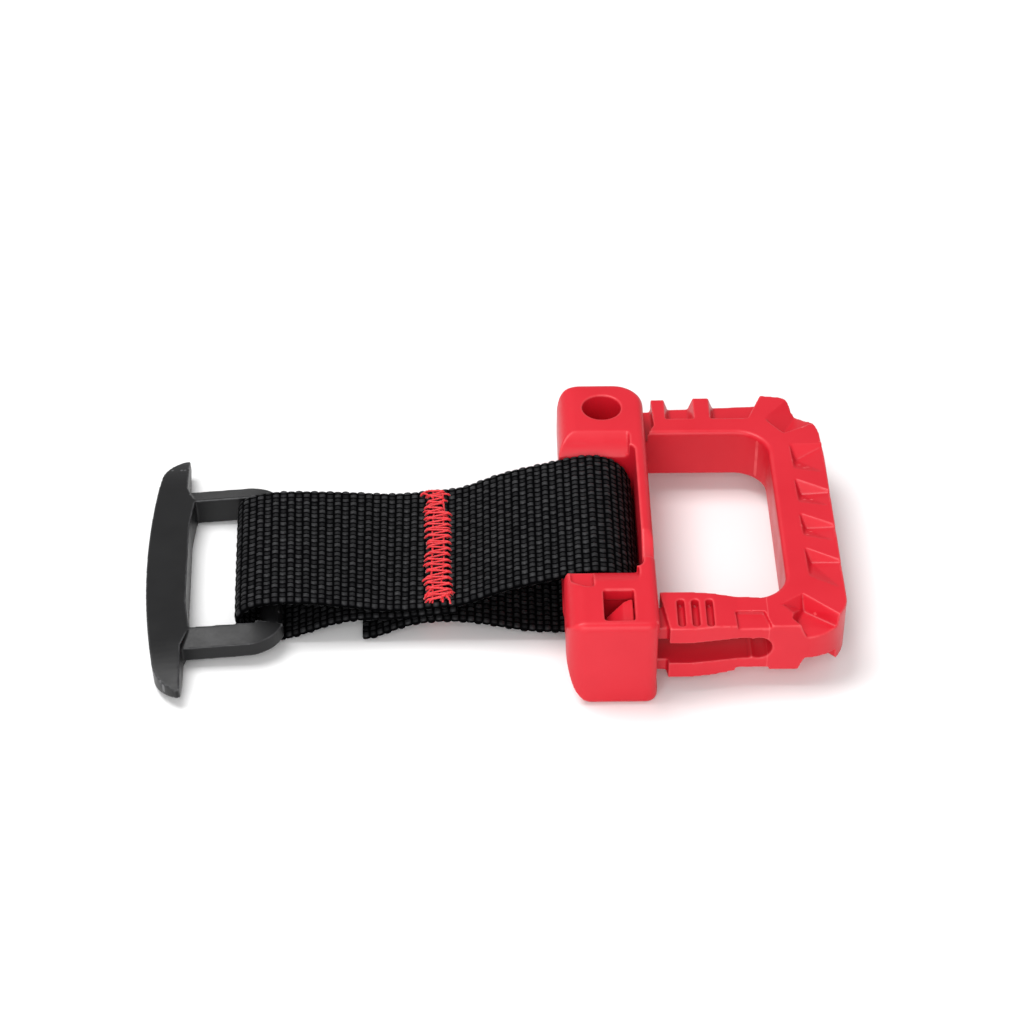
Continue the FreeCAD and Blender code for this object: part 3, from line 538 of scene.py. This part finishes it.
def faces_of_tape(low, high):
    """Both faces of the woven tape, upper first: grids of points, bead heights and flat places."""
    width = (high.y - low.y) / MM
    middle = (high.y + low.y) / (2 * MM)
    places, normals, rib = stations_along(natural_curve(tape_points()))
    row, fullness = across_the_tape(width)
    dice = np.random.RandomState(WEAVE_SEED)
    across = (row / ROW_COUNT - 0.5) * width + wander(rib, row) * width / ROW_COUNT
    past_body = np.abs(row / ROW_COUNT - 0.5) * width - (width / 2 - SELVEDGE_WIDTH)
    edge_share = np.clip(past_body, 0, SELVEDGE_WIDTH) / SELVEDGE_WIDTH
    edge_share = edge_share * np.sign(row - ROW_COUNT / 2)
    faces = []
    for side in (1, -1):
        beads, rib_number = bead_field(rib + (side < 0), row, dice)
        scallop = 1 - np.abs(2 * (rib % 1) - 1)[:, None] ** 2
        scallop = scallop * np.where(rib_number % 2 == 0, 1.0, SELVEDGE_LOW)
        lift = fullness * (TAPE_HALF - BEAD_HEIGHT * (1 - beads))
        y = middle + across - edge_share * SELVEDGE_BULGE * (1 - scallop)
        x = places[:, None, 0] + side * lift * normals[:, None, 0]
        z = places[:, None, 1] + side * lift * normals[:, None, 1]
        x, z = settle(x, y, z, middle)
        flat = np.broadcast_arrays(rib[:, None] * RIB_PITCH, across + side * LOWER_FACE_SHIFT)
        faces.append((np.stack([x, y, z], axis=2), beads, np.stack(flat, axis=2)))
    return faces


def closed_tape(upper, lower, upper_beads, lower_beads, upper_flat, lower_flat):
    """One closed mesh of the two faces, which share their edge vertices."""
    upper[:, (0, -1)] = 0.5 * (upper[:, (0, -1)] + lower[:, (0, -1)])
    stations, wide = upper.shape[:2]
    top = np.arange(stations * wide).reshape(stations, wide)
    inner = stations * wide + np.arange(stations * (wide - 2)).reshape(stations, wide - 2)
    bottom = np.column_stack((top[:, 0], inner, top[:, -1]))
    points = np.concatenate((upper.reshape(-1, 3), lower[:, 1:-1].reshape(-1, 3))) * MM
    crest = np.concatenate((upper_beads.ravel(), lower_beads[:, 1:-1].ravel()))
    flat = np.concatenate((upper_flat.reshape(-1, 2), lower_flat[:, 1:-1].reshape(-1, 2))) * MM
    faces = quads(top, False) + quads(bottom, True)
    for end, flip in ((0, True), (stations - 1, False)):
        faces += end_cap(top[end], bottom[end], flip)
    mesh = bpy.data.meshes.new("webbing")
    mesh.from_pydata(points.tolist(), [], faces)
    smooth_faces(mesh)
    stored = mesh.attributes.new("crest", "FLOAT", "POINT")
    stored.data.foreach_set("value", crest.astype(np.float32))
    corners = np.zeros(len(mesh.loops), dtype=np.int32)
    mesh.loops.foreach_get("vertex_index", corners)
    layer = mesh.uv_layers.new(name="weave")
    layer.data.foreach_set("uv", flat[corners].astype(np.float32).ravel())
    tidy_normals(mesh)
    return mesh


def make_webbing(finish):
    """The webbing, one closed woven tape, turning with the strap."""
    upper_face, lower_face = faces_of_tape(*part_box("webbing_strap"))
    pairs = [grid for pair in zip(upper_face, lower_face) for grid in pair]
    strap = new_object("woven_webbing_strap", closed_tape(*pairs))
    paint(strap, finish)
    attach(strap, "strap")
    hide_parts("webbing_strap")


def quads(grid, flip):
    """Faces between neighbouring rows and columns of a grid of vertex numbers."""
    a, b, c, d = grid[:-1, :-1], grid[1:, :-1], grid[1:, 1:], grid[:-1, 1:]
    order = (a, d, c, b) if flip else (a, b, c, d)
    return np.stack(order, axis=2).reshape(-1, 4).tolist()


def end_cap(upper, lower, flip):
    """The cut end of the tape: faces between its upper and lower rims, which meet at both edges."""
    faces = []
    for number in range(len(upper) - 1):
        ring = [upper[number], upper[number + 1], lower[number + 1], lower[number]]
        ring = list(dict.fromkeys(int(vertex) for vertex in ring))
        faces.append(ring[::-1] if flip else ring)
    return faces


# ---------------------------------------------------------------- bar tack


def thread_tube(points, radius, turns, verts, faces):
    """A two-ply thread along the points: an oval section that twists as it goes, with closed ends."""
    sides = THREAD_SIDES
    line = np.array(points, float)
    tangents = np.gradient(line, axis=0)
    tangents /= np.linalg.norm(tangents, axis=1)[:, None]
    base = len(verts)
    for number, (place, tangent) in enumerate(zip(line, tangents)):
        sideways = np.cross(tangent, (0.0, 0.0, 1.0))
        sideways /= max(np.linalg.norm(sideways), 1e-6)
        upwards = np.cross(sideways, tangent)
        twist = math.tau * turns * number / (len(line) - 1)
        for step in range(sides):
            angle = math.tau * step / sides
            reach = radius * (0.80 + 0.20 * math.cos(2 * (angle - twist)))
            outwards = math.cos(angle) * sideways + math.sin(angle) * upwards
            verts.append(place + reach * outwards)
    for number in range(len(line) - 1):
        for step in range(sides):
            after = (step + 1) % sides
            near, far = base + number * sides, base + (number + 1) * sides
            faces.append((near + step, near + after, far + after, far + step))
    last = base + (len(line) - 1) * sides
    faces.append(tuple(base + step for step in reversed(range(sides))))
    faces.append(tuple(last + step for step in range(sides)))


def stitch(start, end, height, side, bow):
    """One thread between two needle holes: it comes out, lies along the tape and goes in again."""
    points = []
    for number in range(STITCH_STEPS):
        share = number / (STITCH_STEPS - 1)
        rise = min(min(share, 1 - share) / STITCH_RISE, 1.0)
        out = -STITCH_SUNK + (STITCH_SUNK + bow) * math.sin(rise * math.pi / 2)
        across = start[0] + (end[0] - start[0]) * share
        along = start[1] + (end[1] - start[1]) * share
        points.append((across, along, height(across) + side * out))
    return points


def tack_face(name, height, side, low, high, hem, seed, finish):
    """One face of the bar tack: long threads below, loose strokes, the zigzag, then stray ends."""
    dice = random.Random(seed)
    left, right = low.x / MM + 0.1, high.x / MM - 0.1
    front, back = low.y / MM + hem, high.y / MM - 0.4
    width, span = right - left, back - front
    verts, faces = [], []

    def lay(start, end, bow):
        radius = THREAD_RADIUS * dice.uniform(0.88, 1.05)
        line = stitch(start, end, height, side, bow)
        thread_tube(line, radius, math.dist(start, end) / TWIST_LENGTH, verts, faces)

    def spot(share_across, share_along, stray=0.0):
        across = left + width * share_across + dice.uniform(-stray, stray)
        return across, back - span * share_along + dice.uniform(-stray, stray)

    for share in (0.30, 0.66):
        for part in range(5):
            lay(spot(share, part / 5, 0.3), spot(share, (part + 1) / 5, 0.3), 0.04)
    for number in range(STROKES):
        share = (number + 0.5) / STROKES
        lay(spot(0.08, share, 0.7), spot(dice.uniform(0.7, 0.95), share, 0.9), 0.22)
    place = spot(0.06, 0.005)
    for number in range(1, STITCHES):
        share = number / (STITCHES - 1)
        inset = 0.24 if share < 0.2 else 0.0
        side_share = 1 - inset - dice.uniform(0, 0.09) if number % 2 else dice.uniform(0, 0.12)
        after = spot(side_share, min(share + dice.uniform(-0.006, 0.006), 1.0))
        lay(place, after, dice.uniform(0.38, 0.54))
        place = after
    for start, end, bow in STRAY_ENDS:
        lay(spot(*start), spot(*end), bow)
    mesh = bpy.data.meshes.new(name)
    mesh.from_pydata([(x * MM, y * MM, z * MM) for x, y, z in verts], [], faces)
    smooth_faces(mesh)
    tidy_normals(mesh)
    obj = new_object(name, mesh)
    paint(obj, finish)
    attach(obj, "strap")
    return obj


def layer_height(points, face):
    """The height of a tape face over X, on the straight stretch between two of its points."""
    (x0, z0), (x1, z1) = points
    slope = (z1 - z0) / (x1 - x0)

    def height(across):
        return z0 + slope * (across - x0) + face * TAPE_HALF

    return height


def make_bartack(finish):
    """Both faces of the bar tack; the one underneath keeps a wider hem at the front."""
    low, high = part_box("bartack_thread")
    upper = layer_height((OVER[5], OVER[3]), 1)
    under = layer_height((UNDER[3], UNDER[5]), -1)
    top = tack_face("bartack_top_stitches", upper, 1, low, high, hem=0.5, seed=5, finish=finish)
    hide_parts("bartack_thread")
    tack_face("bartack_under_stitches", under, -1, low, high, hem=2.4, seed=6, finish=finish)


# ---------------------------------------------------------------- studio


def make_floor():
    bm = bmesh.new()
    bmesh.ops.create_grid(bm, x_segments=4, y_segments=4, size=FLOOR_HALF)
    mesh = bpy.data.meshes.new("floor")
    bm.to_mesh(mesh)
    bm.free()
    floor = new_object("floor", mesh)
    paint(floor, studio_floor())


def aim(obj, place, target):
    """Puts a lamp at a place and turns it to shine on the target."""
    obj.location = place
    obj.rotation_euler = (Vector(target) - Vector(place)).to_track_quat("-Z", "Y").to_euler()


def make_lights():
    world = bpy.data.worlds.new("studio")
    bpy.context.scene.world = world
    world.use_nodes = True
    sky = world.node_tree.nodes["Background"]
    sky.inputs["Color"].default_value = (1, 1, 1, 1)
    sky.inputs["Strength"].default_value = SKY_STRENGTH
    for name, watts, width, place in LAMPS:
        light = bpy.data.lights.new(name, "AREA")
        light.energy = watts
        light.size = width
        lamp = bpy.data.objects.new(name, light)
        bpy.context.scene.collection.objects.link(lamp)
        aim(lamp, place, (0, 0, 0))


def make_camera():
    """Looks down at a steep slant, swung slightly round the middle of the handle side."""
    data = bpy.data.cameras.new("camera")
    data.lens = LENS
    data.sensor_width = 36
    data.clip_start = 0.01
    camera = bpy.data.objects.new("camera", data)
    bpy.context.scene.collection.objects.link(camera)
    swing = math.radians(CAMERA_SWING)
    pivot = Vector(CAMERA_PIVOT)
    arm = Vector(CAMERA_BEFORE_SWING) - pivot
    turned = Vector((
        arm.x * math.cos(swing) - arm.y * math.sin(swing),
        arm.x * math.sin(swing) + arm.y * math.cos(swing),
        arm.z,
    ))
    camera.location = pivot + turned
    camera.rotation_euler = (math.radians(CAMERA_TILT), 0, swing)
    bpy.context.scene.camera = camera
    bpy.context.scene.view_settings.view_transform = "Standard"


def main():
    red = moulded(
        "red_plastic",
        colour=(0.60, 0.012, 0.025),
        deep=(0.57, 0.009, 0.021),
        # Painted shade colour for concave edges.
        crease_shade=(0.36, 0.002, 0.012),
        # Painted highlight colour for convex edges.
        edge_highlight=(0.72, 0.085, 0.095),
        rough=0.38,
        shine=0.30,
    )
    black = moulded(
        "black_plastic",
        colour=(0.0055, 0.0055, 0.006),
        deep=(0.0035, 0.0035, 0.004),
        # Painted shade colour for concave edges.
        crease_shade=(0.0015, 0.0015, 0.0015),
        # Painted highlight colour for convex edges.
        edge_highlight=(0.10, 0.10, 0.104),
        rough=0.40,
        shine=0.27,
    )
    pieces = (
        ("strap_yoke", red, YOKE_EDGES),
        ("pivot_pin", red, YOKE_EDGES),
        ("toggle_bar", black, TOGGLE_EDGES),
    )
    for name, finish, edges in pieces:
        paint(frame["nodes"][name], finish)
        soften(frame["nodes"][name], edges)
    make_handle(red)
    make_webbing(woven_nylon())
    make_bartack(sewing_thread())
    make_floor()
    make_lights()
    make_camera()


main()
